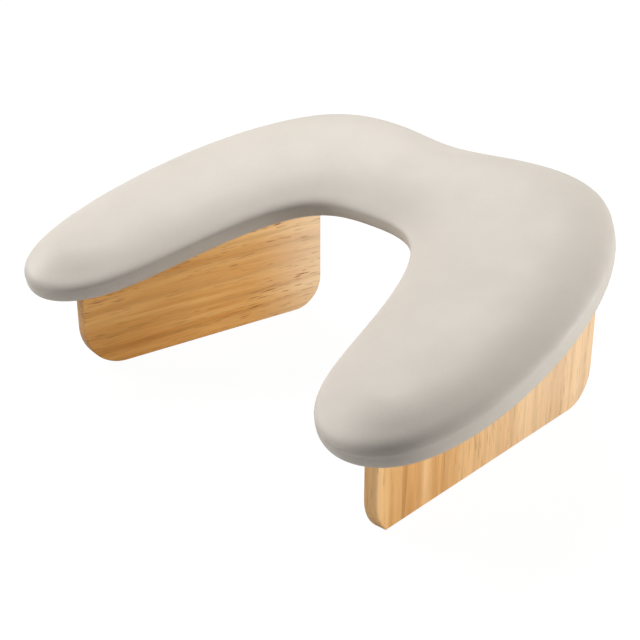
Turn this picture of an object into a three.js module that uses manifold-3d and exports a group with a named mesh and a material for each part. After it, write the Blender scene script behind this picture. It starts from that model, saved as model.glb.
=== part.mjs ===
// Face cradle cushion: a horseshoe pad on two upright wooden boards.
// Millimetres, +Z up. X runs across the two arms, the arms reach towards -Y, and the origin is the
// middle of the footprint on the surface that the cushion stands on.
import * as THREE from "three";
import { mergeVertices } from "three/addons/utils/BufferGeometryUtils.js";
import Module from "manifold-3d";

const wasm = await Module();
wasm.setup();

// ---- Driving dimensions --------------------------------------------------------------------

const GAP = 0.3; // clearance between neighbouring pieces

// The pad lies on a plane that falls towards the open end. Heights on it are measured square to it.
const PAD_HEIGHT = 97.2; // height of the pad's underside above the floor, at the origin
const PAD_TILT = THREE.MathUtils.degToRad(15.2);
const EDGE_HEIGHT = 5; // straight side wall at the foot of the pad
const OUTER_RISE = 18.2; // from the side wall to the crest, along the outer edge
const INNER_RISE = 11.6; // the same along the face opening
const OUTER_ROUND = 35; // how far in the outer edge is rounded over
const INNER_ROUND = 30;
const CROWN = 4.4; // extra fullness along the middle of the pad
const CROWN_REACH = 50;

// Half of the pad's outline as the control polygon of a smooth closed curve, from the middle of the
// back edge round the right arm to the middle of the face opening.
const HALF_OUTLINE = [
  [0, 121], // dip in the back edge
  [44, 131],
  [93, 133], // back of the shoulder
  [134, 115],
  [172, 60],
  [191, -11], // widest part
  [193, -83],
  [175, -130],
  [138, -143], // tip of the arm
  [106, -126],
  [90, -93],
  [80, -45], // inner side of the arm
  [64, 3],
  [40, 32],
  [0, 34], // end of the face opening
];
const TIP_INDEX = 8; // control point at the tip of the arm

const SKIN = 1; // faux leather
const HEM_WIDTH = 20; // leather turned in under the board
const BOARD_THICKNESS = 5;
const BOARD_INSET = 2.8; // the board's edge lies this far inside the outline
const FOAM_BASE_THICKNESS = 3.4;

const DUST_COVER_INSET = 8;
const DUST_COVER_THICKNESS = 0.4;

const LEG_THICKNESS = 10;
const LEG_EDGE_EASE = 0.8;
const REAR_CORNER = 23;
// Each leg's middle, its length, its turn about Z in radians, which brings its back end inwards, and
// the arc of its lower front corner. Where the arc's centre is lower than its radius, the floor cuts
// the arc.
const LEGS = [
  { name: "left", x: -124.5, y: -7.7, length: 195.4, turn: -0.138, radius: 30, centreHeight: 30 },
  { name: "right", x: 127.5, y: 3.4, length: 215.6, turn: 0.074, radius: 28, centreHeight: 20 },
];

const SCREW = { length: 26, shank: 2, head: 4, headDepth: 2.2, drive: 1.6, driveDepth: 1.4 };
const SCREW_PLACES = [-72, 0, 72]; // along the leg

const STAPLE = { crown: 10, wire: 0.9, thickness: 0.6, depth: 4.6 };
const HEM_STAPLES = { count: 26, inset: 14.5, drop: 0.1 };
const DUST_STAPLES = { count: 20, inset: 10.5, drop: 1.4 };
const STAPLE_LEG_MARGIN = 9; // staples keep this far from a leg's faces and ends

const ALONG = 18; // steps along each arm of a pad layer
const ACROSS = 10; // steps from the outer edge to the inner edge

// ---- Materials -----------------------------------------------------------------------------

const material = (color, roughness, metalness = 0) =>
  new THREE.MeshStandardMaterial({ color, roughness, metalness });

const MATERIALS = {
  leather: () => material(0xd8d2c8, 0.55),
  softFoam: () => material(0xf1e6c4, 0.95),
  firmFoam: () => material(0xc9cfd4, 0.95),
  plywood: () => material(0xcfab78, 0.75),
  dustCloth: () => material(0x1d1d1e, 0.95),
  wood: () => material(0xd6a970, 0.6),
  steel: () => material(0xb9bcc0, 0.35, 1),
};

// ---- Solids --------------------------------------------------------------------------------

/** A closed geometry as a manifold solid. */
function solidOf(geometry) {
  const bare = geometry.index ? geometry.toNonIndexed() : geometry.clone();
  bare.deleteAttribute("normal");
  bare.deleteAttribute("uv");
  const merged = mergeVertices(bare, 1e-4);
  return new wasm.Manifold(
    new wasm.Mesh({
      numProp: 3,
      vertProperties: merged.attributes.position.array,
      triVerts: new Uint32Array(merged.index.array),
    }),
  );
}

/** A manifold solid as a geometry. */
function geometryOf(solid) {
  const mesh = solid.getMesh();
  const geometry = new THREE.BufferGeometry();
  geometry.setAttribute("position", new THREE.BufferAttribute(mesh.vertProperties, 3));
  geometry.setIndex(new THREE.BufferAttribute(mesh.triVerts, 1));
  geometry.computeVertexNormals();
  return geometry;
}

/** Cuts tools, each a geometry with a world matrix, out of a mesh that already has its place. */
function cut(mesh, tools) {
  mesh.updateWorldMatrix(true, false);
  const toLocal = mesh.matrixWorld.clone().invert();
  let solid = solidOf(mesh.geometry);
  for (const { geometry, matrix } of tools) {
    const placed = geometry.clone().applyMatrix4(toLocal.clone().multiply(matrix));
    solid = solid.subtract(solidOf(placed));
  }
  mesh.geometry = geometryOf(solid);
}

function addPiece(group, name, geometry, makeMaterial) {
  const mesh = new THREE.Mesh(geometry, makeMaterial());
  mesh.name = name;
  group.add(mesh);
  mesh.updateWorldMatrix(true, false);
  return mesh;
}

// ---- The pad's outline and height ----------------------------------------------------------

const mirrored = HALF_OUTLINE.slice(1, -1).reverse().map(([x, y]) => [-x, y]);
const CONTROL = [...HALF_OUTLINE, ...mirrored].map(([x, y]) => new THREE.Vector2(x, y));

/** Point of the closed uniform cubic B-spline at u; whole values of u lie beside control points. */
function outlinePoint(u) {
  const whole = Math.floor(u);
  const f = u - whole;
  const weights = [
    (1 - f) ** 3 / 6,
    (3 * f ** 3 - 6 * f ** 2 + 4) / 6,
    (-3 * f ** 3 + 3 * f ** 2 + 3 * f + 1) / 6,
    f ** 3 / 6,
  ];
  const point = new THREE.Vector2();
  weights.forEach((weight, k) => {
    const index = (whole + k - 1 + 2 * CONTROL.length) % CONTROL.length;
    point.addScaledVector(CONTROL[index], weight);
  });
  return point;
}

/** Unit tangent of the outline at u, clockwise seen from above. */
function outlineTangent(u) {
  const step = 0.01;
  return outlinePoint(u + step).sub(outlinePoint(u - step)).normalize();
}

/** Point of the outline at u, moved into the pad by inset. */
function insetPoint(u, inset) {
  const tangent = outlineTangent(u);
  const inward = new THREE.Vector2(tangent.y, -tangent.x);
  return outlinePoint(u).addScaledVector(inward, inset);
}

/** Points of a line that runs inset inside the outline, evenly spaced along the outline. */
function evenPoints(count, inset) {
  const fine = 40 * CONTROL.length;
  const us = Array.from({ length: fine + 1 }, (_, i) => (i / fine) * CONTROL.length);
  const lengths = [0];
  for (let i = 1; i <= fine; i++) {
    lengths.push(lengths[i - 1] + outlinePoint(us[i]).distanceTo(outlinePoint(us[i - 1])));
  }
  const total = lengths[fine];
  return Array.from({ length: count }, (_, k) => {
    const wanted = ((k + 0.5) / count) * total;
    const u = us[lengths.findIndex((length) => length >= wanted)];
    return { point: insetPoint(u, inset), tangent: outlineTangent(u) };
  });
}

/** Distance from a point to a closed ring of points. */
function distanceToRing(point, ring) {
  let best = Infinity;
  ring.forEach((a, i) => {
    const b = ring[(i + 1) % ring.length];
    const side = b.clone().sub(a);
    const along = THREE.MathUtils.clamp(point.clone().sub(a).dot(side) / side.lengthSq(), 0, 1);
    best = Math.min(best, a.clone().addScaledVector(side, along).distanceTo(point));
  });
  return best;
}

/** Height of the pad's top, less depth, at a distance in from the edge; across is 0 outside, 1 in. */
function topHeight(distance, across, depth) {
  const round = THREE.MathUtils.lerp(OUTER_ROUND, INNER_ROUND, across) - depth;
  const rise = THREE.MathUtils.lerp(OUTER_RISE, INNER_RISE, across) - depth;
  const left = 1 - Math.min(1, distance / round);
  const crown = CROWN * THREE.MathUtils.smoothstep(distance, 0, CROWN_REACH);
  return EDGE_HEIGHT + rise * Math.sqrt(1 - left ** 2) + crown;
}

/**
 * A closed layer of the pad: its outline moved in by inset, flat below at low, and above at the
 * pad's top less depth.
 */
function layerGeometry({ inset, depth, low }) {
  const last = HALF_OUTLINE.length - 1;
  const rows = [];
  for (let i = -ALONG; i <= ALONG; i++) {
    const t = Math.abs(i) / ALONG;
    const outer = insetPoint(TIP_INDEX * t, inset);
    const inner = insetPoint(last - (last - TIP_INDEX) * t, inset);
    const steps = t === 1 ? 0 : ACROSS;
    const row = [];
    for (let j = 0; j <= steps; j++) {
      const across = steps === 0 ? 0.5 : (1 - Math.cos((Math.PI * j) / steps)) / 2;
      const point = outer.clone().lerp(inner, across);
      if (i < 0) point.x = -point.x;
      row.push({ point, across });
    }
    rows.push(row);
  }
  const middleRows = rows.slice(1, -1);
  const ring = [
    rows[0][0],
    ...middleRows.map((row) => row[0]),
    rows.at(-1)[0],
    ...middleRows.map((row) => row.at(-1)).reverse(),
  ].map((vertex) => vertex.point);
  for (const vertex of rows.flat()) {
    const distance = distanceToRing(vertex.point, ring);
    vertex.height = topHeight(distance, vertex.across, depth);
  }

  const positions = [];
  const triangle = (a, b, c) => positions.push(...a, ...b, ...c);
  const top = (vertex) => [vertex.point.x, vertex.point.y, vertex.height];
  const bottom = (point) => [point.x, point.y, low];
  for (let i = 0; i + 1 < rows.length; i++) {
    const [a, b] = [rows[i], rows[i + 1]];
    for (let j = 0; j < ACROSS; j++) {
      if (b.length > 1) triangle(top(a[Math.min(j, a.length - 1)]), top(b[j]), top(b[j + 1]));
      if (a.length > 1) triangle(top(a[j]), top(b[Math.min(j + 1, b.length - 1)]), top(a[j + 1]));
    }
  }
  const byPoint = new Map(rows.flat().map((vertex) => [vertex.point, vertex]));
  ring.forEach((point, i) => {
    const next = ring[(i + 1) % ring.length];
    const [upper, upperNext] = [top(byPoint.get(point)), top(byPoint.get(next))];
    triangle(bottom(point), upperNext, upper);
    triangle(bottom(point), bottom(next), upperNext);
  });
  for (const face of THREE.ShapeUtils.triangulateShape(ring, [])) {
    const [a, b, c] = face.map((k) => bottom(ring[k]));
    triangle(a, b, c);
  }

  const geometry = new THREE.BufferGeometry();
  geometry.setAttribute("position", new THREE.Float32BufferAttribute(positions, 3));
  return solidOf(geometry).volume() < 0 ? flipped(geometry) : geometry;
}

/** The same triangles, facing the other way. */
function flipped(geometry) {
  const turned = geometry.clone();
  const { array } = turned.attributes.position;
  for (let i = 0; i < array.length; i += 9) {
    for (let k = 0; k < 3; k++) {
      [array[i + 3 + k], array[i + 6 + k]] = [array[i + 6 + k], array[i + 3 + k]];
    }
  }
  return turned;
}

/** A flat plate that follows the outline, moved in by inset. */
function plateGeometry({ inset, low, thickness, points = 84 }) {
  const us = Array.from({ length: points }, (_, i) => (i / points) * CONTROL.length);
  const shape = new THREE.Shape(us.map((u) => insetPoint(u, inset)));
  const geometry = new THREE.ExtrudeGeometry(shape, { depth: thickness, bevelEnabled: false });
  return geometry.translate(0, 0, low);
}

// ---- Pad -----------------------------------------------------------------------------------

const BOARD_LOW = SKIN + GAP;
const BOARD_TOP = BOARD_LOW + BOARD_THICKNESS;
const FOAM_SPLIT = BOARD_TOP + GAP + FOAM_BASE_THICKNESS;
const INSIDE = SKIN + GAP; // clearance of everything within the leather

function makeCover(pad) {
  const outside = layerGeometry({ inset: 0, depth: 0, low: 0 });
  const inside = layerGeometry({ inset: SKIN, depth: SKIN, low: SKIN });
  const mouth = plateGeometry({ inset: HEM_WIDTH, low: -1, thickness: 3 });
  const cover = addPiece(pad, "cover", outside, MATERIALS.leather);
  cut(cover, [inside, mouth].map((geometry) => ({ geometry, matrix: cover.matrixWorld })));
  return cover;
}

/** A wide block between two heights. */
function slab(bottom, top) {
  return new THREE.BoxGeometry(500, 500, top - bottom).translate(0, 0, (bottom + top) / 2);
}

/** One foam layer: the whole filling, with what lies below bottom and above top cut away. */
function makeFoam(pad, name, makeMaterial, bottom, top) {
  const filling = layerGeometry({ inset: INSIDE, depth: INSIDE, low: 0 });
  const foam = addPiece(pad, name, filling, makeMaterial);
  const outside = [slab(-PAD_HEIGHT, bottom), slab(top, PAD_HEIGHT)];
  cut(foam, outside.map((geometry) => ({ geometry, matrix: foam.matrixWorld })));
}

function makeBoard(pad) {
  const plate = plateGeometry({
    inset: BOARD_INSET,
    low: BOARD_LOW,
    thickness: BOARD_THICKNESS,
  });
  return addPiece(pad, "seat_board", plate, MATERIALS.plywood);
}

function makeDustCover(pad) {
  const low = -STAPLE.thickness - 2 * HEM_STAPLES.drop - DUST_COVER_THICKNESS;
  const sheet = { inset: DUST_COVER_INSET, low, thickness: DUST_COVER_THICKNESS };
  return addPiece(pad, "dust_cover", plateGeometry(sheet), MATERIALS.dustCloth);
}

// ---- Legs ----------------------------------------------------------------------------------

/** Point of a leg's middle plane, at a distance along it from its middle. */
function pointOnLeg({ x, y, turn }, along) {
  return new THREE.Vector2(x - Math.sin(turn) * along, y + Math.cos(turn) * along);
}

/** Side view of a leg board: its length along X, its height along Y, the front at -X. */
function legShape(leg) {
  const { length, radius, centreHeight } = leg;
  const half = length / 2;
  const slope = Math.tan(PAD_TILT);
  const topAt = (along) => PAD_HEIGHT + BOARD_LOW - GAP + slope * pointOnLeg(leg, along).y;
  const floorAngle = Math.PI + Math.asin(centreHeight / radius);
  const shape = new THREE.Shape();
  shape.moveTo(-half, topAt(-half));
  shape.lineTo(-half, centreHeight);
  shape.absarc(-half + radius, centreHeight, radius, Math.PI, floorAngle);
  shape.lineTo(half - REAR_CORNER, 0);
  shape.absarc(half - REAR_CORNER, REAR_CORNER, REAR_CORNER, -Math.PI / 2, 0);
  shape.lineTo(half, topAt(half));
  return shape;
}

function makeLeg(assembly, leg) {
  const geometry = new THREE.ExtrudeGeometry(legShape(leg), {
    depth: LEG_THICKNESS - 2 * LEG_EDGE_EASE,
    curveSegments: 8,
    bevelSize: LEG_EDGE_EASE,
    bevelOffset: -LEG_EDGE_EASE,
    bevelThickness: LEG_EDGE_EASE,
    bevelSegments: 1,
  });
  geometry.translate(0, 0, LEG_EDGE_EASE - LEG_THICKNESS / 2);
  const upright = new THREE.Matrix4().makeBasis(
    new THREE.Vector3(0, 1, 0),
    new THREE.Vector3(0, 0, 1),
    new THREE.Vector3(1, 0, 0),
  );
  geometry.applyMatrix4(upright);
  const mesh = addPiece(assembly, `leg_${leg.name}`, geometry, MATERIALS.wood);
  mesh.position.set(leg.x, leg.y, 0);
  mesh.rotation.z = leg.turn;
  return mesh;
}

/** The space that a leg takes in the cloth and leather under the pad. */
function legSlot(pad, { x, y, length, turn }) {
  const low = -STAPLE.depth;
  const high = BOARD_LOW - GAP / 2;
  const geometry = new THREE.BoxGeometry(
    LEG_THICKNESS + 3 * GAP,
    length / Math.cos(PAD_TILT) + 6 * GAP,
    high - low,
  );
  geometry.translate(0, 0, (low + high) / 2).rotateZ(turn * Math.cos(PAD_TILT));
  geometry.translate(x, y / Math.cos(PAD_TILT), 0);
  return { geometry, matrix: pad.matrixWorld };
}

// ---- Fasteners -----------------------------------------------------------------------------

/** A countersunk screw, or the hole for one when grown, with its head's face at the origin. */
function screwGeometry(grow = 0) {
  const { length, shank, head, headDepth } = SCREW;
  const profile = [
    [0, grow],
    [head + grow, grow],
    [head + grow, 0],
    [shank + grow, -headDepth],
    [shank + grow, -length + shank],
    [0, -length - grow],
  ];
  const points = profile.map(([radius, height]) => new THREE.Vector2(radius, height)).reverse();
  return new THREE.LatheGeometry(points, 16).rotateX(Math.PI / 2);
}

function driveCutters(screw) {
  const { drive, driveDepth, head } = SCREW;
  return [0, Math.PI / 2].map((angle) => {
    const geometry = new THREE.BoxGeometry(head * 1.1, drive / 2, 2 * driveDepth).rotateZ(angle);
    return { geometry, matrix: screw.matrixWorld };
  });
}

function makeScrews(pad, leg) {
  return SCREW_PLACES.map((along, i) => {
    const name = `leg_screw_${leg.name}_${i + 1}`;
    const screw = addPiece(pad, name, screwGeometry(), MATERIALS.steel);
    const { x, y } = pointOnLeg(leg, along);
    screw.position.set(x, y / Math.cos(PAD_TILT), BOARD_TOP - GAP);
    screw.updateWorldMatrix(true, false);
    cut(screw, driveCutters(screw));
    return screw;
  });
}

const screwHole = (screw) => ({ geometry: screwGeometry(GAP), matrix: screw.matrixWorld });

/** A staple seen square on: a flat crown under the board with two legs going up. */
function stapleGeometry() {
  const { crown, wire, thickness, depth } = STAPLE;
  const half = crown / 2;
  const shape = new THREE.Shape([
    new THREE.Vector2(-half, -thickness),
    new THREE.Vector2(half, -thickness),
    new THREE.Vector2(half, depth),
    new THREE.Vector2(half - thickness, depth),
    new THREE.Vector2(half - thickness, 0),
    new THREE.Vector2(thickness - half, 0),
    new THREE.Vector2(thickness - half, depth),
    new THREE.Vector2(-half, depth),
  ]);
  const geometry = new THREE.ExtrudeGeometry(shape, { depth: wire, bevelEnabled: false });
  return geometry.translate(0, 0, -wire / 2).rotateX(Math.PI / 2);
}

function stapleHoles(staple) {
  const { crown, wire, thickness, depth } = STAPLE;
  const room = 0.12;
  return [-1, 1].map((end) => {
    const geometry = new THREE.BoxGeometry(thickness + 2 * room, wire + 2 * room, depth + 1);
    geometry.translate(end * (crown - thickness) / 2, 0, (depth + room) / 2 - 0.4);
    return { geometry, matrix: staple.matrixWorld };
  });
}

function clearOfLegs(point) {
  return LEGS.every(({ x, y, length, turn }) => {
    const local = new THREE.Vector2(point.x - x, point.y * Math.cos(PAD_TILT) - y);
    local.rotateAround(new THREE.Vector2(), -turn);
    const across = Math.abs(local.x) - LEG_THICKNESS / 2;
    const beyond = Math.abs(local.y) - length / 2;
    return Math.max(across, beyond) > STAPLE_LEG_MARGIN;
  });
}

function makeStaples(pad, name, { count, inset, drop }) {
  const places = evenPoints(count, inset).filter(({ point }) => clearOfLegs(point));
  return places.map(({ point, tangent }, i) => {
    const number = String(i + 1).padStart(2, "0");
    const staple = addPiece(pad, `${name}_${number}`, stapleGeometry(), MATERIALS.steel);
    staple.position.set(point.x, point.y, -drop);
    staple.rotation.z = Math.atan2(tangent.y, tangent.x);
    staple.updateWorldMatrix(true, false);
    return staple;
  });
}

// ---- Assembly ------------------------------------------------------------------------------

const assembly = new THREE.Group();
const pad = new THREE.Group();
pad.position.z = PAD_HEIGHT;
pad.rotation.x = PAD_TILT;
assembly.add(pad);
pad.updateWorldMatrix(true, false);

const cover = makeCover(pad);
makeFoam(pad, "foam_top", MATERIALS.softFoam, FOAM_SPLIT + GAP, PAD_HEIGHT - GAP);
makeFoam(pad, "foam_base", MATERIALS.firmFoam, BOARD_TOP + GAP, FOAM_SPLIT);
const board = makeBoard(pad);
const dustCover = makeDustCover(pad);

const screws = [];
for (const leg of LEGS) {
  const own = makeScrews(pad, leg);
  cut(makeLeg(assembly, leg), own.map(screwHole));
  screws.push(...own);
}
const hemStaples = makeStaples(pad, "hem_staple", HEM_STAPLES);
const dustStaples = makeStaples(pad, "dust_staple", DUST_STAPLES);
const slots = LEGS.map((leg) => legSlot(pad, leg));
const hemHoles = hemStaples.flatMap(stapleHoles);
const dustHoles = dustStaples.flatMap(stapleHoles);
cut(cover, [...slots, ...hemHoles, ...dustHoles]);
cut(dustCover, [...slots, ...dustHoles]);
cut(board, [...screws.map(screwHole), ...hemHoles, ...dustHoles]);

// The origin is the middle of the footprint.
const root = new THREE.Group();
root.add(assembly);
const middle = new THREE.Box3().setFromObject(assembly, true).getCenter(new THREE.Vector3());
assembly.position.y = -middle.y;

export default root;
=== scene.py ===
"""Looks of the face cradle cushion: a horseshoe pad in pale faux leather on two upright boards.

Metres in Blender, in the frame of the CAD model. The pad's own sizes are in millimetres on the
pad's plane, as in the CAD source: x across, v up the slope, w square to it.
"""

import math

import bmesh
import bpy
import numpy as np
from mathutils import Matrix, Vector


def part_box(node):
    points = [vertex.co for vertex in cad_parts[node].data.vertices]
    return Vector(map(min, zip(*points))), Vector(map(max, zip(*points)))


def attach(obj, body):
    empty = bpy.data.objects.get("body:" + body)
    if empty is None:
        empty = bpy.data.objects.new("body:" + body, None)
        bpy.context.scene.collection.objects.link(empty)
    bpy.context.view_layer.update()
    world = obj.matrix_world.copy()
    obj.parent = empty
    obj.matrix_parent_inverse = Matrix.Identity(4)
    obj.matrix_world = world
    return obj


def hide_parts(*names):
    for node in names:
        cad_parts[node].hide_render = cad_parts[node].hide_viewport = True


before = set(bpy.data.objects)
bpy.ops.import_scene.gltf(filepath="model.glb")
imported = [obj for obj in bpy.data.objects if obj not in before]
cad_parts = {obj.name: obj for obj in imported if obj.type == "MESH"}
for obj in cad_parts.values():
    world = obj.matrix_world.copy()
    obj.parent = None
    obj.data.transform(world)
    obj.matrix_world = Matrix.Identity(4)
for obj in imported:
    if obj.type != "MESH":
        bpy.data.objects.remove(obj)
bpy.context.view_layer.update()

MM = 0.001
PAD_HEIGHT = 97.2
PAD_TILT = math.radians(15.2)
EDGE_HEIGHT = 7  # side wall at the foot of the pad, up to the crease
OUTER_RISE = 16.2  # from the crease to the crest, along the outer edge
INNER_RISE = 9.6  # the same along the face opening
OUTER_ROUND = 35  # how far in the outer edge is rounded over
INNER_ROUND = 30
CROWN = 4.4  # extra fullness along the middle of the pad
CROWN_REACH = 50

# Half of the pad's outline as the control polygon of a smooth closed curve, from the middle of the
# back edge round the right arm to the middle of the face opening.
HALF_OUTLINE = [
    (0, 121), (44, 131), (93, 133), (134, 115), (172, 60), (191, -11), (193, -83), (175, -130),
    (138, -143), (106, -126), (90, -93), (80, -45), (64, 3), (40, 32), (0, 34),
]
TIP = 8  # index of the control point at the tip of the arm
CONTROL = np.array(HALF_OUTLINE + [(-x, y) for x, y in HALF_OUTLINE[-2:0:-1]], float)

BOARD_LOW = 1.3  # underside of the seat board
BOARD_TOP = 6.3
BOARD_INSET = 2.8
HEM_WIDTH = 20  # leather turned in under the board
SKIN = 1.0
DUST_INSET = 8
DUST_HEIGHT = -1.0  # middle of the dust cover's thickness
DUST_THICKNESS = 0.4

LEG_THICKNESS = 10
LEG_EDGE_EASE = 0.9  # rounding of a board's long edges
REAR_CORNER = 23
# Each leg's middle, its length, its turn about Z in radians, and the arc of its lower front corner.
LEGS = {
    "left": {"x": -124.5, "y": -7.7, "length": 195.4, "turn": -0.138, "radius": 30, "centre": 30},
    "right": {"x": 127.5, "y": 3.4, "length": 215.6, "turn": 0.074, "radius": 28, "centre": 20},
}
SCREW_HOLE = 2.3
SCREW_PLACES = (-72, 0, 72)
SCREW_DEPTH = 28
SLOT_LOW = -4.6  # the slot around a leg reaches down past the staples
SLOT_HIGH = BOARD_LOW - 0.15
SLOT_SPARE = (0.8, 1.8)  # clearance of a slot across and along the leg, both sides together


def on_pad(points):
    """Points (x, v, w) of the pad's plane, in millimetres, as points of the frame, in metres."""
    x, v, w = np.moveaxis(np.asarray(points, float), -1, 0)
    y = v * math.cos(PAD_TILT) - w * math.sin(PAD_TILT) + SHIFT
    z = v * math.sin(PAD_TILT) + w * math.cos(PAD_TILT) + PAD_HEIGHT
    return np.stack([x, y, z], -1) * MM


# ---- Outline --------------------------------------------------------------------------------


def outline_point(u):
    """Points of the closed uniform cubic B-spline at the parameters u."""
    u = np.asarray(u, float)
    whole = np.floor(u).astype(int)
    f = u - whole
    weights = np.stack(
        [
            (1 - f) ** 3 / 6,
            (3 * f**3 - 6 * f**2 + 4) / 6,
            (-3 * f**3 + 3 * f**2 + 3 * f + 1) / 6,
            f**3 / 6,
        ],
        -1,
    )
    index = (whole[..., None] + np.arange(-1, 3)) % len(CONTROL)
    return (CONTROL[index] * weights[..., None]).sum(-2)


def inward(u):
    """Unit normals that point into the pad."""
    tangent = outline_point(u + 0.01) - outline_point(u - 0.01)
    tangent /= np.linalg.norm(tangent, axis=-1, keepdims=True)
    return np.stack([tangent[..., 1], -tangent[..., 0]], -1)


def ring_parameters(along):
    """Parameters of the points right round the outline, from the left tip back over to it."""
    last = len(HALF_OUTLINE) - 1
    t = np.arange(along + 1) / along
    outer = TIP * t
    inner = last - (last - TIP) * t
    total = len(CONTROL)
    return np.concatenate([total - outer[:0:-1], outer, inner[-2::-1], total - inner[1:-1]])


def ring_points(along, inset):
    u = ring_parameters(along)
    return outline_point(u) + inward(u) * inset


def ribbon_points(along, across, inset):
    """Rows of points from the outer edge to the inner edge, and each point's share of the way."""
    ring = ring_points(along, inset)
    outer = ring[: 2 * along + 1]
    inner = np.concatenate([ring[:1], ring[2 * along + 1 :][::-1], ring[2 * along : 2 * along + 1]])
    share = (1 - np.cos(np.pi * np.arange(across + 1) / across)) / 2
    points = outer[:, None] * (1 - share)[None, :, None] + inner[:, None] * share[None, :, None]
    return points, np.broadcast_to(share, points.shape[:2])


def footprint_shift():
    """How far the pad's own origin lies from the middle of the footprint, along Y."""
    front = ring_points(400, BOARD_INSET)[:, 1].min()
    plain = front * math.cos(PAD_TILT) - BOARD_TOP * math.sin(PAD_TILT)
    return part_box("seat_board")[0][1] / MM - plain


SHIFT = footprint_shift()


def smoothstep(value, low, high):
    t = np.clip((value - low) / (high - low), 0, 1)
    return t * t * (3 - 2 * t)


def edge_distance(points):
    """Distance in from the outline."""
    ring = ring_points(400, 0)
    flat = points.reshape(-1, 2)
    best = np.empty(len(flat))
    for i in range(0, len(flat), 500):
        some = flat[i : i + 500]
        best[i : i + 500] = np.linalg.norm(some[:, None] - ring[None], axis=-1).min(1)
    return best.reshape(points.shape[:-1])


def top_height(distance, share):
    """Height of the pad's top over its underside."""
    rounded = OUTER_ROUND + (INNER_ROUND - OUTER_ROUND) * share
    rise = OUTER_RISE + (INNER_RISE - OUTER_RISE) * share
    left = 1 - np.minimum(1, distance / rounded)
    crown = CROWN * smoothstep(distance, 0, CROWN_REACH)
    return EDGE_HEIGHT + rise * np.sqrt(1 - left**2) + crown


# ---- Meshes ---------------------------------------------------------------------------------


def new_object(name, mesh):
    made = bpy.data.objects.new(name, mesh)
    bpy.context.scene.collection.objects.link(made)
    return made


def object_from_bmesh(name, bm):
    bmesh.ops.recalc_face_normals(bm, faces=bm.faces)
    mesh = bpy.data.meshes.new(name)
    bm.to_mesh(mesh)
    bm.free()
    return new_object(name, mesh)


def apply_modifiers(piece):
    """Makes what the modifiers show the piece's own mesh."""
    graph = bpy.context.evaluated_depsgraph_get()
    mesh = bpy.data.meshes.new_from_object(piece.evaluated_get(graph))
    piece.modifiers.clear()
    piece.data = mesh


def shade(piece, angle):
    piece.data.shade_smooth()
    piece.data.set_sharp_from_angle(angle=math.radians(angle))


def cut_out(piece, cutters):
    """Takes the cutters' bodies out of the piece, and removes them."""
    for cutter in cutters:
        modifier = piece.modifiers.new("cut", "BOOLEAN")
        modifier.operation = "DIFFERENCE"
        modifier.solver = "EXACT"
        modifier.object = cutter
    apply_modifiers(piece)
    for cutter in cutters:
        bpy.data.objects.remove(cutter)


def stacked_rings(bm, rings):
    """Faces between rings of points that follow one another; the rings' vertices."""
    made = [[bm.verts.new(point) for point in ring] for ring in rings]
    for low, high in zip(made, made[1:]):
        for i, _ in enumerate(low):
            j = (i + 1) % len(low)
            bm.faces.new((low[i], low[j], high[j], high[i]))
    return made


def fill_ribbon(bm, border, points, along, across):
    """Faces over the pad's plan inside a border ring, with the points as its inner vertices."""
    rows = []
    last = 2 * along
    for i in range(last + 1):
        if i in (0, last):
            rows.append([border[i]] * (across + 1))
            continue
        inner = border[-i]
        middle = [bm.verts.new(points[i, j]) for j in range(1, across)]
        rows.append([border[i], *middle, inner])
    for a, b in zip(rows, rows[1:]):
        for j in range(across):
            corners = list(dict.fromkeys((a[j], b[j], b[j + 1], a[j + 1])))
            if len(corners) > 2:
                bm.faces.new(corners)


# ---- Cushion --------------------------------------------------------------------------------

ALONG = 84
ACROSS = 30
# The rim and the turned-in hem as (inset, height) from the side wall's top down and in, then back
# out over the hem and up round the board's edge.
RIM = [
    (0.0, 6.2), (-0.15, 4.9), (-0.15, 3.5), (-0.05, 2.4), (0.25, 1.3), (0.8, 0.5), (1.7, 0.05),
    (3.2, -0.05), (5.2, -0.1), (8, 0.0), (14, 0.0), (HEM_WIDTH, 0.0), (HEM_WIDTH + 0.4, 0.5),
    (HEM_WIDTH, SKIN), (12, SKIN), (3.4, SKIN), (2.5, 1.7), (2.5, 6.0),
]
CREASE_DEPTH = 0.25  # how far the leather tucks in between the crown and the rim
CEILING_INSET = 2.8
CEILING_HEIGHT = BOARD_TOP + 0.3
SHRINK_REACH = 12  # how far in from the edge the filling's shrinkage comes in
SMOOTH_FROM = 30  # distance in from the edge where smoothing of the crown begins
SMOOTH_FULL = 42
SMOOTH_STEPS = 12


def ring_at(along, inset, height):
    flat = ring_points(along, inset)
    return on_pad(np.column_stack([flat, np.full(len(flat), height)]))


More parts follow.
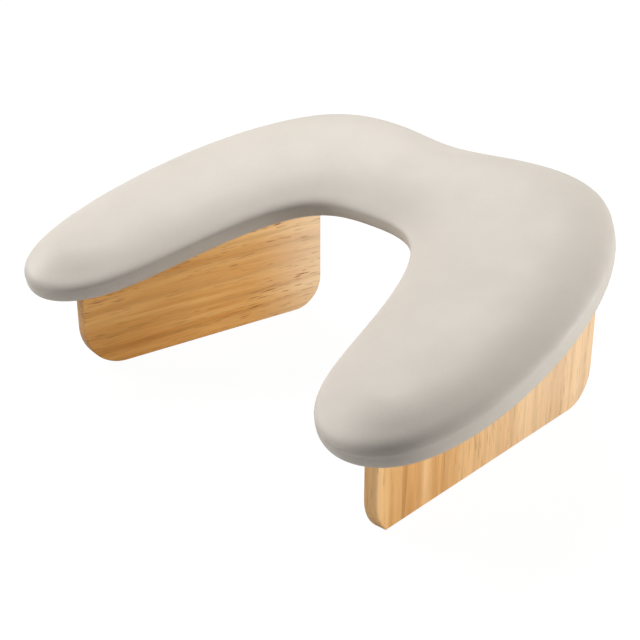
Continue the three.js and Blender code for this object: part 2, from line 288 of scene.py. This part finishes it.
def cushion_mesh(shrink):
    """The leather with its filling as one closed body around the seat board."""
    bm = bmesh.new()
    points, share = ribbon_points(ALONG, ACROSS, 0)
    distance = edge_distance(points)
    height = top_height(distance, share) - shrink * smoothstep(distance, 0, SHRINK_REACH)
    inner = smoothstep(distance, SMOOTH_FROM, SMOOTH_FULL)[1:-1, 1:-1]
    for _ in range(SMOOTH_STEPS):
        mean = (height[:-2, 1:-1] + height[2:, 1:-1] + height[1:-1, :-2] + height[1:-1, 2:]) / 4
        height[1:-1, 1:-1] += (mean - height[1:-1, 1:-1]) * inner
    top = on_pad(np.dstack([points, height]))
    edges = [(CREASE_DEPTH, EDGE_HEIGHT), *RIM]
    rings = stacked_rings(bm, [ring_at(ALONG, inset, height) for inset, height in edges])
    fill_ribbon(bm, rings[0], top, ALONG, ACROSS)
    ceiling, _ = ribbon_points(ALONG, ACROSS, CEILING_INSET)
    flat = on_pad(np.dstack([ceiling, np.full(ceiling.shape[:2], CEILING_HEIGHT)]))
    lid = stacked_rings(bm, [ring_at(ALONG, CEILING_INSET, CEILING_HEIGHT)])[0]
    for i, _ in enumerate(lid):
        j = (i + 1) % len(lid)
        bm.faces.new((rings[-1][i], rings[-1][j], lid[j], lid[i]))
    fill_ribbon(bm, lid, flat, ALONG, ACROSS)
    return bm


def heights_on_pad(mesh):
    """Height of each vertex over the pad's underside, in millimetres."""
    co = np.empty(len(mesh.vertices) * 3)
    mesh.vertices.foreach_get("co", co)
    _, y, z = (co.reshape(-1, 3) / MM).T
    return (z - PAD_HEIGHT) * math.cos(PAD_TILT) - (y - SHIFT) * math.sin(PAD_TILT)


FILL_SHRINK = 1.2  # how much lower the crown starts than it ends
FILL_CAP = 1.6  # the farthest that the pressure moves any point
FILL_FRAMES = 20


def puff_up(piece):
    """Presses the pad's top outwards as a filled cover, with its rim and underside held."""
    mesh = piece.data
    before = np.empty(len(mesh.vertices) * 3)
    mesh.vertices.foreach_get("co", before)
    before = before.reshape(-1, 3)
    held = piece.vertex_groups.new(name="held")
    heights = heights_on_pad(mesh)
    free = smoothstep(heights, EDGE_HEIGHT + 0.5, EDGE_HEIGHT + 5)
    free[np.abs(heights - CEILING_HEIGHT) < 0.01] = 0
    for index, amount in enumerate(free):
        held.add([index], 1 - float(amount), "REPLACE")
    cloth = piece.modifiers.new("filled", "CLOTH")
    cloth.settings.quality = 6
    cloth.settings.mass = 0.3
    cloth.settings.use_pressure = True
    cloth.settings.uniform_pressure_force = 4
    cloth.settings.tension_stiffness = 25
    cloth.settings.compression_stiffness = 25
    cloth.settings.bending_stiffness = 4
    cloth.settings.vertex_group_mass = "held"
    cloth.settings.effector_weights.gravity = 0
    cloth.point_cache.frame_start = 1
    cloth.point_cache.frame_end = FILL_FRAMES
    scene = bpy.context.scene
    for number in range(1, FILL_FRAMES + 1):
        scene.frame_set(number)
    graph = bpy.context.evaluated_depsgraph_get()
    done = piece.evaluated_get(graph).to_mesh()
    after = np.empty(len(done.vertices) * 3)
    done.vertices.foreach_get("co", after)
    move = after.reshape(-1, 3) - before
    piece.modifiers.clear()
    piece.vertex_groups.clear()
    scene.frame_set(1)
    far = np.linalg.norm(move, axis=1, keepdims=True) / MM
    move *= np.minimum(1, FILL_CAP / np.maximum(far, 1e-6))
    mesh.vertices.foreach_set("co", (before + move).ravel())
    mesh.update()


def leg_slot(leg):
    """The space that a leg takes in the hem and the dust cover."""
    bm = bmesh.new()
    bmesh.ops.create_cube(bm, size=1)
    size = (
        LEG_THICKNESS + SLOT_SPARE[0],
        leg["length"] / math.cos(PAD_TILT) + SLOT_SPARE[1],
        SLOT_HIGH - SLOT_LOW,
    )
    turn = Matrix.Rotation(leg["turn"] * math.cos(PAD_TILT), 3, "Z")
    for vert in bm.verts:
        local = turn @ Vector([c * s for c, s in zip(vert.co, size)])
        v = local.y + leg["y"] / math.cos(PAD_TILT)
        vert.co = on_pad((local.x + leg["x"], v, local.z + (SLOT_LOW + SLOT_HIGH) / 2))
    return object_from_bmesh("slot", bm)


def make_cushion():
    cushion = object_from_bmesh("cushion", cushion_mesh(FILL_SHRINK))
    puff_up(cushion)
    cut_out(cushion, [leg_slot(leg) for leg in LEGS.values()])
    smooth = cushion.modifiers.new("finer", "SUBSURF")
    smooth.levels = smooth.render_levels = 1
    apply_modifiers(cushion)
    shade(cushion, 50)
    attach(cushion, "root")
    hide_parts("cover", "foam_top", "foam_base")
    return cushion


# ---- Dust cover -----------------------------------------------------------------------------

# The stapled margin as (inset, share of the full thickness); the last ring borders the flat middle.
DUST_RIM = [(DUST_INSET, 0.6), (DUST_INSET + 0.3, 1.0), (16, 1.0), (16.6, 0.7), (17.5, 0.7)]

def make_dust_cover():
    along, across = 60, 24
    half = DUST_THICKNESS / 2
    bm = bmesh.new()
    faces = {}
    for sign in (-1, 1):
        rings = []
        for inset, bulge in DUST_RIM:
            rings.append(ring_at(along, inset, DUST_HEIGHT + sign * half * bulge))
        points, _ = ribbon_points(along, across, DUST_RIM[-1][0])
        wave = 0.05 * np.sin(points[..., 0] / 9) * np.cos(points[..., 1] / 13)
        heights = DUST_HEIGHT + wave + sign * half * DUST_RIM[-1][1]
        made = stacked_rings(bm, rings)
        fill_ribbon(bm, made[-1], on_pad(np.dstack([points, heights])), along, across)
        faces[sign] = made[0]
    for i, _ in enumerate(faces[1]):
        j = (i + 1) % len(faces[1])
        bm.faces.new((faces[1][i], faces[1][j], faces[-1][j], faces[-1][i]))
    cover = object_from_bmesh("dust_cloth", bm)
    cut_out(cover, [leg_slot(leg) for leg in LEGS.values()])
    shade(cover, 40)
    ring = ring_points(400, DUST_INSET)
    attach(cover, "root")
    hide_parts("dust_cover")
    return cover


# ---- Legs -----------------------------------------------------------------------------------


def leg_profile(leg):
    """Side view of a leg: (along, up) in millimetres, its front at the negative end."""
    half = leg["length"] / 2
    radius, centre = leg["radius"], leg["centre"]

    def top(along):
        y = leg["y"] + math.cos(leg["turn"]) * along
        return PAD_HEIGHT + BOARD_LOW - 0.3 + math.tan(PAD_TILT) * y

    def arc(x, z, r, start, end, steps=20):
        angles = np.linspace(start, end, steps + 1)
        return [(x + r * math.cos(a), z + r * math.sin(a)) for a in angles]

    return [
        (-half, top(-half)),
        *arc(-half + radius, centre, radius, math.pi, math.pi + math.asin(centre / radius)),
        *arc(half - REAR_CORNER, REAR_CORNER, REAR_CORNER, -math.pi / 2, 0),
        (half, top(half)),
    ]


def screw_hole(leg, along):
    bm = bmesh.new()
    bmesh.ops.create_cone(
        bm, cap_ends=True, segments=24, radius1=SCREW_HOLE, radius2=SCREW_HOLE, depth=SCREW_DEPTH
    )
    x = leg["x"] - math.sin(leg["turn"]) * along
    v = (leg["y"] + math.cos(leg["turn"]) * along) / math.cos(PAD_TILT)
    for vert in bm.verts:
        w = vert.co.z - SCREW_DEPTH / 2 + BOARD_TOP
        vert.co = on_pad((vert.co.x + x, vert.co.y + v, w))
    return object_from_bmesh("hole", bm)


def make_leg(side, leg):
    """A board with eased edges; the faces of the easing have the second material, which darkens
    them as painted shade.
    """
    bm = bmesh.new()
    half = LEG_THICKNESS / 2
    front = [bm.verts.new((-half, y, z)) for y, z in leg_profile(leg)]
    face = bm.faces.new(front)
    grown = bmesh.ops.extrude_face_region(bm, geom=[face])
    for item in grown["geom"]:
        if isinstance(item, bmesh.types.BMVert):
            item.co.x = half
    bmesh.ops.recalc_face_normals(bm, faces=bm.faces)
    long_edges = [e for e in bm.edges if abs(e.verts[0].co.x - e.verts[1].co.x) < 1e-6]
    eased = bmesh.ops.bevel(
        bm,
        geom=long_edges,
        offset=LEG_EDGE_EASE,
        offset_type="OFFSET",
        segments=3,
        profile=0.5,
        affect="EDGES",
    )
    for item in eased["faces"]:
        item.material_index = 1
    bmesh.ops.scale(bm, vec=(MM, MM, MM), verts=bm.verts)
    board = object_from_bmesh(f"board_{side}", bm)
    board.location = (leg["x"] * MM, (leg["y"] + SHIFT) * MM, 0)
    board.rotation_euler.z = leg["turn"]
    bpy.context.view_layer.update()
    cut_out(board, [screw_hole(leg, along) for along in SCREW_PLACES])
    shade(board, 32)
    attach(board, "root")
    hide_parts(f"leg_{side}")
    return board


# ---- Materials ------------------------------------------------------------------------------


def srgb(red, green, blue):
    """A colour of 0 to 255 as linear numbers with alpha."""
    def line(c):
        c /= 255
        return c / 12.92 if c <= 0.04045 else ((c + 0.055) / 1.055) ** 2.4
    return (line(red), line(green), line(blue), 1)


class Shader:
    """A material's node tree, with short calls for the nodes that it needs."""

    def __init__(self, name):
        self.material = bpy.data.materials.new(name)
        self.material.use_nodes = True
        self.tree = self.material.node_tree
        self.tree.nodes.clear()
        self.out = self.tree.nodes.new("ShaderNodeOutputMaterial")
        self.surface = self.tree.nodes.new("ShaderNodeBsdfPrincipled")
        self.tree.links.new(self.surface.outputs[0], self.out.inputs["Surface"])
        coordinates = self.tree.nodes.new("ShaderNodeTexCoord")
        self.place = coordinates.outputs["Object"]

    def node(self, kind, inputs=(), output=0, **settings):
        made = self.tree.nodes.new("ShaderNode" + kind)
        for key, value in settings.items():
            setattr(made, key, value)
        for key, value in dict(inputs).items():
            if isinstance(value, bpy.types.NodeSocket):
                self.tree.links.new(value, made.inputs[key])
            else:
                made.inputs[key].default_value = value
        return made.outputs[output]

    def mapping(self, scale=(1, 1, 1), rotation=(0, 0, 0), location=(0, 0, 0)):
        return self.node(
            "Mapping",
            {"Vector": self.place, "Scale": scale, "Rotation": rotation, "Location": location},
        )

    def noise(self, scale, where=None, detail=2, roughness=0.5, distortion=0):
        return self.node(
            "TexNoise",
            {
                "Vector": where or self.place,
                "Scale": scale,
                "Detail": detail,
                "Roughness": roughness,
                "Distortion": distortion,
            },
        )

    def ramp(self, factor, stops, smooth=False):
        made = self.tree.nodes.new("ShaderNodeValToRGB")
        if smooth:
            made.color_ramp.interpolation = "EASE"
        elements = made.color_ramp.elements
        while len(elements) < len(stops):
            elements.new(0.5)
        for element, (position, colour) in zip(elements, stops):
            element.position = position
            element.color = colour if hasattr(colour, "__len__") else (colour, colour, colour, 1)
        self.tree.links.new(factor, made.inputs[0])
        return made.outputs[0]

    def mix(self, factor, first, second, blend="MIX"):
        made = self.tree.nodes.new("ShaderNodeMix")
        made.data_type = "RGBA"
        made.blend_type = blend
        for socket, value in zip((made.inputs[0], made.inputs[6], made.inputs[7]),
                                 (factor, first, second)):
            if isinstance(value, bpy.types.NodeSocket):
                self.tree.links.new(value, socket)
            else:
                socket.default_value = value
        return made.outputs[2]

    def math(self, operation, first, second=0.5):
        return self.node("Math", {0: first, 1: second}, operation=operation)

    def bump(self, height, strength, distance, normal=None):
        inputs = {"Height": height, "Strength": strength, "Distance": distance}
        if normal:
            inputs["Normal"] = normal
        return self.node("Bump", inputs)

    def finish(self, **sockets):
        for key, value in sockets.items():
            socket = self.surface.inputs[key.replace("_", " ")]
            if isinstance(value, bpy.types.NodeSocket):
                self.tree.links.new(value, socket)
            else:
                socket.default_value = value
        return self.material


def leather_material():
    s = Shader("faux_leather")
    warp = s.noise(300, detail=2)
    shift = s.node("VectorMath", {0: warp, 1: (0.0006,) * 3}, operation="MULTIPLY")
    bent = s.node("VectorMath", {0: s.place, 1: shift}, operation="ADD")
    pebbles = s.node("TexVoronoi", {"Vector": bent, "Scale": 1150}, feature="DISTANCE_TO_EDGE")
    valleys = s.ramp(pebbles, [(0.0, 0.0), (0.22, 1.0)], smooth=True)
    pores = s.noise(2600, detail=1)
    creases = s.noise(120, detail=4, roughness=0.6)
    tone = s.ramp(
        s.noise(14, detail=3),
        [(0.3, srgb(229, 222, 212)), (0.7, srgb(234, 227, 218))],
    )
    worn = s.mix(0.5, tone, s.ramp(s.noise(70, detail=4), [(0.35, 0.96), (0.7, 1.0)]), "MULTIPLY")
    shaded = s.mix(0.3, worn, s.ramp(valleys, [(0.0, 0.86), (1.0, 1.0)]), "MULTIPLY")
    rough = s.ramp(s.noise(45, detail=3), [(0.3, 0.44), (0.7, 0.54)])
    normal = s.bump(creases, 0.08, 0.0008)
    normal = s.bump(valleys, 0.16, 0.00012, normal)
    normal = s.bump(pores, 0.06, 0.00005, normal)
    return s.finish(
        Base_Color=shaded,
        Roughness=rough,
        Normal=normal,
        Specular_IOR_Level=0.4,
        Sheen_Weight=0.08,
        Sheen_Roughness=0.5,
    )


# the colour that painted light lightens the rear of each board towards
PAINTED_LIGHT_WOOD = (250, 230, 200)
# Each board's tones from dark to light; whether its grain stands upright; where in the noise it
# lies; whether it is glued from strips; how strong its pores are; and where along it, in metres,
# painted light starts and ends turning the wood paler towards its rear, and how much paler.
WOOD = {
    "left": {
        "tones": [(196, 134, 66), (214, 158, 88), (224, 174, 106), (234, 192, 134)],
        "upright": False,
        "seed": 0.37,
        "staves": False,
        "pore_strength": 0.9,
        "pale": (0.03, 0.11, 0.55),
    },
    "right": {
        "tones": [(204, 158, 102), (224, 184, 130), (234, 198, 148), (244, 216, 178)],
        "upright": True,
        "seed": 1.13,
        "staves": True,
        "pore_strength": 0.45,
        "pale": (-0.07, 0.06, 0.4),
    },
}


def wood_material(name, edge, tones, upright, seed, staves, pore_strength, pale):
    """Solid rubberwood in the board's own axes: its grain runs along Y, or along Z if upright."""
    s = Shader(name)
    turn = (math.pi / 2, 0, 0) if upright else (0, 0, 0)
    turned = s.mapping(rotation=turn, location=(seed, seed * 0.7, seed * 0.3))

    def along(stretch, shift=0.0):
        return s.node(
            "Mapping", {"Vector": turned, "Scale": (1, stretch, 1), "Location": (shift, 0, shift)}
        )

    streaks = s.noise(70, along(0.05), detail=4, roughness=0.6, distortion=0.4)
    places = (0.30, 0.46, 0.58, 0.72)
    colour = s.ramp(streaks, [(place, srgb(*tone)) for place, tone in zip(places, tones)])
    if staves:
        across = s.node("SeparateXYZ", {"Vector": s.place}, output=1)
        scaled = s.math("MULTIPLY", s.math("ADD", across, 0.31), 27)
        cell = s.node(
            "TexVoronoi", {"W": scaled, "Scale": 1, "Randomness": 0.75}, output=1,
            voronoi_dimensions="1D",
        )
        strip = s.node("SeparateColor", {"Color": cell})
        tint = s.ramp(
            strip,
            [(0.0, srgb(226, 178, 120)), (0.5, srgb(250, 226, 184)), (1.0, srgb(240, 205, 150))],
        )
        colour = s.mix(0.55, colour, s.mix(1, colour, tint, "MULTIPLY"))
        joint = s.node(
            "TexVoronoi", {"W": scaled, "Scale": 1, "Randomness": 0.75},
            voronoi_dimensions="1D", feature="DISTANCE_TO_EDGE",
        )
        line = s.ramp(joint, [(0.0, 0.62), (0.012, 1.0)])
        colour = s.mix(0.8, colour, line, "MULTIPLY")
    # painted light: the board turns paler towards its rear, where more light reaches it under the
    # pad
    position = s.node("SeparateXYZ", {"Vector": s.place}, output=1)
    painted_light_share = s.node(
        "MapRange",
        {"Value": position, "From Min": pale[0], "From Max": pale[1], "To Max": pale[2]},
        interpolation_type="SMOOTHSTEP",
    )
    colour = s.mix(painted_light_share, colour, srgb(*PAINTED_LIGHT_WOOD))
    rings = s.node(
        "TexWave",
        {
            "Vector": along(0.12, 0.4), "Scale": 24, "Distortion": 5, "Detail": 3,
            "Detail Scale": 1.2, "Detail Roughness": 0.6,
        },
        wave_type="BANDS", bands_direction="Z",
    )
    colour = s.mix(0.35, colour, s.ramp(rings, [(0.0, 0.72), (0.25, 1.0)]), "MULTIPLY")
    fibre = s.noise(620, along(0.03, 0.2), detail=3, roughness=0.65)
    colour = s.mix(0.5, colour, s.ramp(fibre, [(0.35, 0.88), (0.6, 1.04)]), "MULTIPLY")
    clusters = s.ramp(s.noise(40, along(0.15, 0.9), detail=2), [(0.4, 0.0), (0.65, 1.0)])
    dashes = s.ramp(s.noise(1300, along(0.05, 0.6), detail=1), [(0.62, 0.0), (0.7, 1.0)])
    pores = s.math("MULTIPLY", dashes, s.math("ADD", clusters, 0.35))
    pores = s.math("MULTIPLY", pores, pore_strength)
    colour = s.mix(pores, colour, srgb(150, 98, 50))
    # painted shade: the eased edge faces are darkened as if shaded where they round off
    if edge:
        colour = s.mix(1, colour, srgb(214, 190, 162), "MULTIPLY")
    rough = s.ramp(fibre, [(0.3, 0.46), (0.7, 0.36)])
    normal = s.bump(fibre, 0.12, 0.00008)
    normal = s.bump(pores, -0.3, 0.0001, normal)
    return s.finish(
        Base_Color=colour,
        Roughness=rough,
        Normal=normal,
        Specular_IOR_Level=0.4,
        Coat_Weight=0.15,
        Coat_Roughness=0.35,
    )


def plywood_material():
    s = Shader("birch_plywood")
    tilted = s.mapping(rotation=(-PAD_TILT, 0, 0))
    depth = s.node("SeparateXYZ", {"Vector": tilted}, output=2)
    layers = s.node("Math", {0: s.math("MULTIPLY", depth, 1000), 1: 1.25}, operation="PINGPONG")
    stripe = s.ramp(layers, [(0.45, 0.72), (0.6, 1.0)])
    grain = s.noise(90, s.mapping(scale=(0.05, 1, 1)), detail=5)
    colour = s.ramp(grain, [(0.35, srgb(196, 158, 110)), (0.65, srgb(226, 196, 152))])
    fibre = s.noise(900, s.mapping(scale=(0.04, 1, 1)), detail=2)
    colour = s.mix(1, colour, stripe, "MULTIPLY")
    return s.finish(
        Base_Color=s.mix(0.3, colour, s.ramp(fibre, [(0.3, 0.7), (0.7, 1.0)]), "MULTIPLY"),
        Roughness=s.ramp(fibre, [(0.3, 0.8), (0.7, 0.68)]),
        Normal=s.bump(fibre, 0.25, 0.0001),
    )


def dust_cloth_material():
    s = Shader("non_woven")
    fibres = s.noise(2200, detail=4, roughness=0.8, distortion=1.5)
    dots = s.node("TexVoronoi", {"Vector": s.mapping(), "Scale": 700, "Randomness": 0.12})
    pressed = s.ramp(dots, [(0.18, 0.0), (0.32, 1.0)])
    colour = s.ramp(fibres, [(0.3, srgb(24, 24, 26)), (0.7, srgb(52, 52, 55))])
    colour = s.mix(0.6, colour, s.ramp(pressed, [(0.0, 0.6), (1.0, 1.0)]), "MULTIPLY")
    normal = s.bump(fibres, 0.35, 0.0001)
    return s.finish(
        Base_Color=colour,
        Roughness=s.ramp(pressed, [(0.0, 0.6), (1.0, 0.9)]),
        Normal=s.bump(pressed, 0.5, 0.00012, normal),
        Sheen_Weight=0.25,
        Sheen_Roughness=0.6,
    )


def steel_material(name, light, dark, scratch):
    s = Shader(name)
    cloudy = s.noise(240, detail=4, roughness=0.7)
    marks = s.noise(2600, s.mapping(scale=(1, 0.08, 1)), detail=2)
    return s.finish(
        Base_Color=s.ramp(cloudy, [(0.3, dark), (0.7, light)]),
        Metallic=1.0,
        Roughness=s.ramp(marks, [(0.3, 0.28), (0.7, 0.46)]),
        Normal=s.bump(marks, scratch, 0.00004),
    )


def floor_material():
    """A pale floor: white to the eye with a faint shadow, and duller as a reflector of light."""
    s = Shader("floor_paint")
    tone = s.ramp(s.noise(3, detail=2), [(0.3, FLOOR_TONE - 0.01), (0.7, FLOOR_TONE + 0.01)])
    paint = s.finish(Base_Color=tone, Roughness=0.85, Specular_IOR_Level=0.1)
    white = s.node("Emission", {"Strength": 1.1})
    seen = s.math("MULTIPLY", s.node("LightPath"), 1 - FAINT_SHADOW)
    mixed = s.node("MixShader", {0: seen, 1: s.surface.outputs[0], 2: white})
    s.tree.links.new(mixed, s.out.inputs["Surface"])
    return paint


def give(piece, *materials):
    piece.data.materials.clear()
    for material in materials:
        piece.data.materials.append(material)


# ---- Camera, floor and lights ---------------------------------------------------------------

CAMERA_AZIMUTH = math.radians(46.501)
CAMERA_ELEVATION = math.radians(25.085)
CAMERA_DISTANCE = 0.9759
CAMERA_TARGET = Vector((-0.0841, 0.0706, 0.0))
CAMERA_LENS = 74.17
FLOOR_TONE = 0.62
FAINT_SHADOW = 0.12
STUDIO_LIGHT = 0.13
STUDIO_WHITE = (1.0, 0.99, 0.975)


def make_camera():
    data = bpy.data.cameras.new("camera")
    data.sensor_width = 36
    data.lens = CAMERA_LENS
    data.clip_start = 0.05
    camera = new_object("camera", data)
    flat = math.cos(CAMERA_ELEVATION)
    back = Vector(
        (
            math.sin(CAMERA_AZIMUTH) * flat,
            -math.cos(CAMERA_AZIMUTH) * flat,
            math.sin(CAMERA_ELEVATION),
        )
    )
    camera.location = CAMERA_TARGET + back * CAMERA_DISTANCE
    camera.rotation_euler = (-back).to_track_quat("-Z", "Y").to_euler()
    bpy.context.scene.camera = camera


def make_floor():
    bm = bmesh.new()
    bmesh.ops.create_grid(bm, x_segments=8, y_segments=8, size=20)
    floor = object_from_bmesh("floor", bm)
    floor.location.z = -0.0003
    give(floor, floor_material())


def area_light(name, place, size, power, colour):
    """A round lamp in metres and watts that looks at the middle of the object."""
    data = bpy.data.lights.new(name, "AREA")
    data.shape = "DISK"
    data.size = size
    data.energy = power
    data.color = colour
    light = new_object(name, data)
    light.location = place
    aim = Vector((0, 0, 0.08)) - Vector(place)
    light.rotation_euler = aim.to_track_quat("-Z", "Y").to_euler()
    return light


def make_world():
    """A dim studio all round, seen as white where it shows behind the floor."""
    world = bpy.data.worlds.new("studio")
    world.use_nodes = True
    tree = world.node_tree
    tree.nodes.clear()
    dim = tree.nodes.new("ShaderNodeBackground")
    dim.inputs["Color"].default_value = (1.0, 0.985, 0.96, 1)
    dim.inputs["Strength"].default_value = STUDIO_LIGHT
    white = tree.nodes.new("ShaderNodeBackground")
    ray = tree.nodes.new("ShaderNodeLightPath")
    mix = tree.nodes.new("ShaderNodeMixShader")
    out = tree.nodes.new("ShaderNodeOutputWorld")
    tree.links.new(ray.outputs["Is Camera Ray"], mix.inputs[0])
    tree.links.new(dim.outputs[0], mix.inputs[1])
    tree.links.new(white.outputs[0], mix.inputs[2])
    tree.links.new(mix.outputs[0], out.inputs["Surface"])
    bpy.context.scene.world = world


def make_lights(boards):
    """Three soft lamps, and a shadowless fill that reaches only the boards under the pad."""
    area_light("overhead", (-0.8, 0.5, 1.6), 1.2, 21.5, (1.0, 0.985, 0.965))
    area_light("left", (-1.3, -0.6, 0.8), 0.8, 12.5, STUDIO_WHITE)
    area_light("right", (1.2, 1.05, 0.4), 0.8, 16.5, (1.0, 0.985, 0.96))
    fill = area_light("fill", (1.3, -0.8, 0.35), 0.8, 10, (1.0, 0.97, 0.93))
    fill.data.use_shadow = False
    lit = bpy.data.collections.new("lit_by_fill")
    for board in boards:
        lit.objects.link(board)
    fill.light_linking.receiver_collection = lit
    bpy.context.scene.view_settings.view_transform = "Standard"


# ---- Scene ----------------------------------------------------------------------------------

make_camera()
make_floor()
make_world()

give(make_cushion(), leather_material())
give(make_dust_cover(), dust_cloth_material())
boards = []
for side, leg in LEGS.items():
    board = make_leg(side, leg)
    face = wood_material(f"rubberwood_{side}", edge=False, **WOOD[side])
    # the second material paints shade on the eased edges
    give(board, face, wood_material(f"rubberwood_{side}_edge", edge=True, **WOOD[side]))
    boards.append(board)
make_lights(boards)

zinc = steel_material("zinc_plate", srgb(214, 214, 212), srgb(168, 169, 172), 0.2)
wire = steel_material("galvanised_wire", srgb(196, 197, 199), srgb(140, 142, 146), 0.3)
plywood = plywood_material()
for name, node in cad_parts.items():
    if name.startswith("leg_screw"):
        give(node, zinc)
    elif "staple" in name:
        give(node, wire)
    elif name == "seat_board":
        give(node, plywood)
